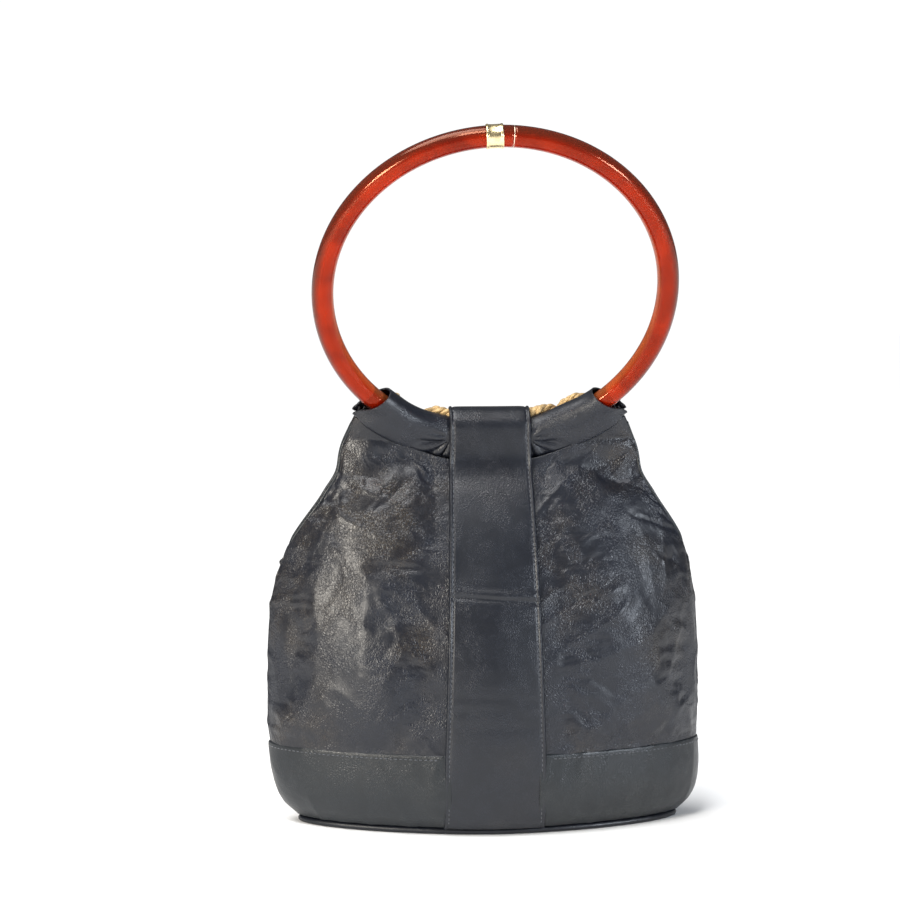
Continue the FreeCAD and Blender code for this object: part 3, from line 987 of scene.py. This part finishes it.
roll_height = (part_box("base_piping")[1][2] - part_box("base_piping")[0][2]) / 2
bm = bmesh.new()
around = []
for i in range(240):
    turn = 2 * math.pi * i / 240
    face = -1 if turn > math.pi else 1
    point = skin(face, turn if face > 0 else 2 * math.pi - turn, band_foot, -roll_height * 1.05)
    around.append(Vector((point.x, point.y, roll_height)))
sweep(bm, around, roll_height, 14, closed=True, up=Vector((0, 0, 1)))
piece = new_piece("leather_base_roll", bm, strap_leather)
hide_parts("base_piping")
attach(piece, "bag")


def foot_disc(inset, height):
    """A flat disc with the outline of the foot, a step inside it."""
    bm = bmesh.new()
    bmesh.ops.create_circle(bm, cap_ends=True, segments=96, radius=1.0)
    for vert in bm.verts:
        turn = math.atan2(vert.co.y, vert.co.x)
        point = skin(1 if turn >= 0 else -1, abs(turn), band_foot, -inset)
        vert.co = Vector((point.x, point.y, height))
    return bm


bm = foot_disc(roll_height * 2.5, 0.4 * MM)
sole = list(bm.faces)
for inset, rise in ((6 * MM, 0.0), (1.2 * MM, 0.5 * MM), (1.2 * MM, -0.5 * MM), (14 * MM, 0.0)):
    bmesh.ops.inset_region(bm, faces=sole, thickness=inset, depth=rise, use_even_offset=True)
bmesh.ops.recalc_face_normals(bm, faces=bm.faces)
bmesh.ops.reverse_faces(bm, faces=[f for f in bm.faces if f.normal.z > 0])
piece = new_piece("leather_sole", bm, band_leather)
thicken(piece, 1.5 * MM, rounded=True)
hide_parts("base_panel")
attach(piece, "bag")
print("mouth edges, base roll and sole made")

# %% [markdown]
# ## Lining
# Through the side mouths one can see the lining: two bags of plain cloth, front and back, and a
# piece on the board. It hangs just inside the leather, slightly gathered.

# %% Lining sheets
LINING_ACROSS = 110
LINING_ALONG = 70
LINING_WALL = 0.5 * MM


def lining_place(face):
    """Inside of the leather from the base board to the seam, across the whole width."""
    def place(across, up):
        low = band_foot + 1 * MM
        x = 0.0
        for _ in range(4):
            top = seam_height(x, face)
            height = low + up * (top - low)
            outer = mouth_turn(height) + 0.02
            turn = outer + (math.pi - 2 * outer) * across
            x = skin(face, turn, height).x
        gather = -3.6 * MM - 1.1 * MM * abs(noise.noise(Vector((x * 30, face, height * 9))))
        low_fold = 2.2 * MM * smooth_step(abs(x), 30 * MM, 60 * MM)
        low_fold *= 1 - smooth_step(height, 200 * MM, 240 * MM)
        return slump(skin(face, turn, height, gather - low_fold))
    return place


for face, face_name in FACES:
    piece = sheet("cloth_lining_" + face_name, lining_place(face), LINING_ACROSS, LINING_ALONG,
                  lining_cloth, flip=(face > 0))
    thicken(piece, LINING_WALL)
    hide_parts("lining_" + face_name)
    bend_with_handle(piece, 0)

floor_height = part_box("lining_base")[1][2]
bm = foot_disc(7.5 * MM, floor_height)
for inset in (4 * MM, 10 * MM, 16 * MM):
    bmesh.ops.inset_region(bm, faces=list(bm.faces)[:1], thickness=inset, depth=0.0)
piece = new_piece("cloth_lining_base", bm, lining_cloth)
thicken(piece, LINING_WALL)
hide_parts("lining_base")
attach(piece, "bag")
print("lining made")

# %% [markdown]
# ## Rope
# A three strand rope lies along the casings' top edge, tucks down behind it in places, and passes
# under the strap. Each strand is a helix round the rope's line, and is itself spun, so its own
# surface has a slow twist.

# %% Three strands
STRAND_RADIUS = 1.85 * MM
STRAND_OFFSET = 1.65 * MM
ROPE_PITCH = 15 * MM
ROPE_STEPS = 300
# Angle along the ring, and how far round the fold the rope is turned back there, in degrees.
ROPE_TUCK = ((-40.5, 100), (-39.0, 98), (-35.7, 72), (-32.0, 98), (-24.5, 96), (-19.0, 44),
             (-14.0, 32), (19.0, 32), (23.0, 60), (25.5, 84), (28.5, 66), (33.0, 64),
             (38.0, 96), (40.5, 100))
ROPE_HALF_ANGLE = math.radians(ROPE_TUCK[-1][0])
rope_reach = casing_radius + 3.4 * MM


def tuck(angle):
    """How far round the fold the rope is turned back, in radians, at an angle on the ring."""
    for (start, low), (end, high) in zip(ROPE_TUCK, ROPE_TUCK[1:]):
        if angle <= math.radians(end):
            share = smooth_step(math.degrees(angle), start, end)
            return math.radians(low + (high - low) * share)
    return math.radians(ROPE_TUCK[-1][1])


def rope_centre(angle):
    """Middle of the rope at an angle on the ring."""
    turned = tuck(angle)
    reach = rope_reach + 1.2 * MM * abs(math.sin(turned))
    return ring_point(ring_radius - reach * math.cos(turned), angle, reach * math.sin(turned))


for strand in range(3):
    points = []
    for i in range(ROPE_STEPS + 1):
        angle = ROPE_HALF_ANGLE * (2 * i / ROPE_STEPS - 1)
        centre = rope_centre(angle)
        out = (ring_point(ring_radius, angle) - ring_centre).normalized()
        turn = -2 * math.pi * (angle * ring_radius / ROPE_PITCH + strand / 3)
        spoke = out * math.cos(turn) + ring_axis * math.sin(turn)
        points.append(centre + spoke * STRAND_OFFSET)
    bm = bmesh.new()
    sweep(bm, points, STRAND_RADIUS, 20, lobes=5, twist=0.11, up=ring_axis)
    piece = new_piece("rope_strand_%d" % (strand + 1), bm, yarn)
    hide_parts("gold_rope")
    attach(piece, "saddle")
print("rope made")

# %% [markdown]
# ## Ring
# The ring is a clear rod bent to a circle. Its ends meet under a thin gilt collar at the top, and a
# short key piece beside it closes the circle, with a fine line of cement. Each length of rod is a
# circle spun about the ring's axis, and the collar is a turned profile with two raised rims.

# %% Rod, key, cement line and collar
TOP = math.radians(182.8)
END_GAP = 0.0004
key_angle = 12.2 * MM / ring_radius
line_angle = 0.35 * MM / ring_radius


def rod(name, start, end, radius, material):
    """Length of rod between two angles on the ring."""
    bm = bmesh.new()
    circle = bmesh.ops.create_circle(bm, cap_ends=True, segments=64, radius=radius)["verts"]
    outwards = Vector((math.sin(start), 0, 0)) - ring_up * math.cos(start)
    heading = Vector((math.cos(start), 0, 0)) + ring_up * math.sin(start)
    turn = Matrix((outwards, ring_axis, heading)).transposed().to_4x4()
    place = Matrix.Translation(ring_point(ring_radius, start)) @ turn
    bmesh.ops.transform(bm, verts=circle, matrix=place)
    steps = max(2, round(math.degrees(abs(end - start))))
    bmesh.ops.spin(bm, geom=list(bm.faces) + list(bm.edges) + circle, cent=ring_centre,
                   axis=-ring_axis, angle=end - start, steps=steps, use_duplicate=False)
    bmesh.ops.remove_doubles(bm, verts=bm.verts, dist=0.001 * MM)
    bmesh.ops.recalc_face_normals(bm, faces=bm.faces)
    piece = new_piece(name, bm, material)
    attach(piece, "ring")
    return piece


line_end = TOP - key_angle
line_start = TOP - key_angle - line_angle
hoop = rod("acrylic_hoop", TOP + END_GAP - 2 * math.pi, line_start, rod_radius, acrylic)
key = rod("acrylic_key", line_end, TOP - END_GAP, rod_radius, acrylic)
rod("cement_line", line_start, line_end, rod_radius + 0.02 * MM, cement)
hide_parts("hoop")
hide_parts("hoop_key")

bm = bmesh.new()
collar_half = 5.7 * MM
# Share of the collar's half length, and height over the rod in millimetres.
profile = ((-1.0, 0.08), (-1.0, 0.62), (-0.90, 0.95), (-0.76, 0.95), (-0.70, 0.60), (-0.30, 0.52),
           (0.30, 0.52), (0.70, 0.60), (0.76, 0.95), (0.90, 0.95), (1.0, 0.62), (1.0, 0.08))
top_centre = ring_point(ring_radius, TOP)
collar_out = (top_centre - ring_centre).normalized()
collar_along = collar_out.cross(ring_axis)
outline = []
for x, wall in profile:
    reach = collar_out * (rod_radius + wall * MM)
    outline.append(bm.verts.new(top_centre + collar_along * x * collar_half + reach))
edges = [bm.edges.new(pair) for pair in zip(outline, outline[1:] + outline[:1])]
bmesh.ops.spin(bm, geom=outline + edges, cent=top_centre, axis=collar_along, angle=2 * math.pi,
               steps=64, use_merge=True)
bmesh.ops.recalc_face_normals(bm, faces=bm.faces)
collar = new_piece("gilt_collar", bm, gilt)
edge_break = collar.modifiers.new("round", "BEVEL")
edge_break.width = 0.12 * MM
edge_break.segments = 2
edge_break.limit_method = "ANGLE"
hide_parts("ferrule")
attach(collar, "ring")

for node, material in (("hoop_dowel", pin_brass), ("base_board", fibre_board)):
    part = frame["nodes"][node]
    part.data.materials.clear()
    part.data.materials.append(material)
print("ring made")

# %% [markdown]
# ## Studio
# The bag stands on a pale floor in soft, even light, with a long lens looking slightly down on it.

# %% Floor, light and camera
bm = bmesh.new()
bmesh.ops.create_grid(bm, x_segments=1, y_segments=1, size=6.0)
floor_material = start_material("pale floor", (0.93, 0.93, 0.93), 0.6)[0]
floor_mesh = bpy.data.meshes.new("floor")
bm.to_mesh(floor_mesh)
bm.free()
floor_mesh.materials.append(floor_material)
floor = add_object("floor", floor_mesh)

world = bpy.data.worlds.new("studio")
bpy.context.scene.world = world
bpy.context.scene.view_settings.view_transform = "Standard"
world.use_nodes = True
sky = world.node_tree.nodes["Background"]
sky.inputs["Color"].default_value = (1, 1, 1, 1)
# The background is bright to look at, also through the acrylic, but lights the bag only softly.
eye = add_node(world.node_tree, "ShaderNodeLightPath")
brightness = add_node(world.node_tree, "ShaderNodeMapRange", To_Min=0.20, To_Max=1.05)
seen = add_node(world.node_tree, "ShaderNodeMath", {"operation": "MAXIMUM"})
for first, second in ((eye.outputs["Is Camera Ray"], seen.inputs[0]),
                      (eye.outputs["Is Transmission Ray"], seen.inputs[1]),
                      (seen.outputs["Value"], brightness.inputs["Value"]),
                      (brightness.outputs["Result"], sky.inputs["Strength"])):
    world.node_tree.links.new(first, second)

sun_data = bpy.data.lights.new("window", "SUN")
sun_data.energy = 3.4
sun_data.angle = math.radians(40)
sun = add_object("window", sun_data)
sun.rotation_euler = Vector((0.50, 0.12, -1.35)).to_track_quat("-Z", "Y").to_euler()


def soft_light(name, place, target, size, power, colour):
    """Square area light that looks at a point."""
    data = bpy.data.lights.new(name, "AREA")
    data.color = colour
    data.size = size
    data.energy = power
    lamp = add_object(name, data)
    lamp.location = place
    lamp.rotation_euler = (Vector(target) - Vector(place)).to_track_quat("-Z", "Y").to_euler()


soft_light("left", (-1.45, -1.45, 0.66), (0, 0, 0.13), 0.5, 42, (1.0, 0.94, 0.84))
soft_light("right", (1.45, -1.25, 0.6), (0, 0, 0.13), 0.4, 24, (0.84, 0.91, 1.0))
soft_light("top", (-0.25, -0.9, 1.7), (0, 0, 0.2), 0.4, 12, (1.0, 1.0, 1.0))

camera_data = bpy.data.cameras.new("camera")
camera_data.lens = 104
camera_data.clip_start = 0.05
camera = add_object("camera", camera_data)
camera.location = (-0.156, -1.813, 0.448)
camera.rotation_euler = (math.radians(90 - 5.8), 0, math.radians(-4.06))
bpy.context.scene.camera = camera
print("studio ready")
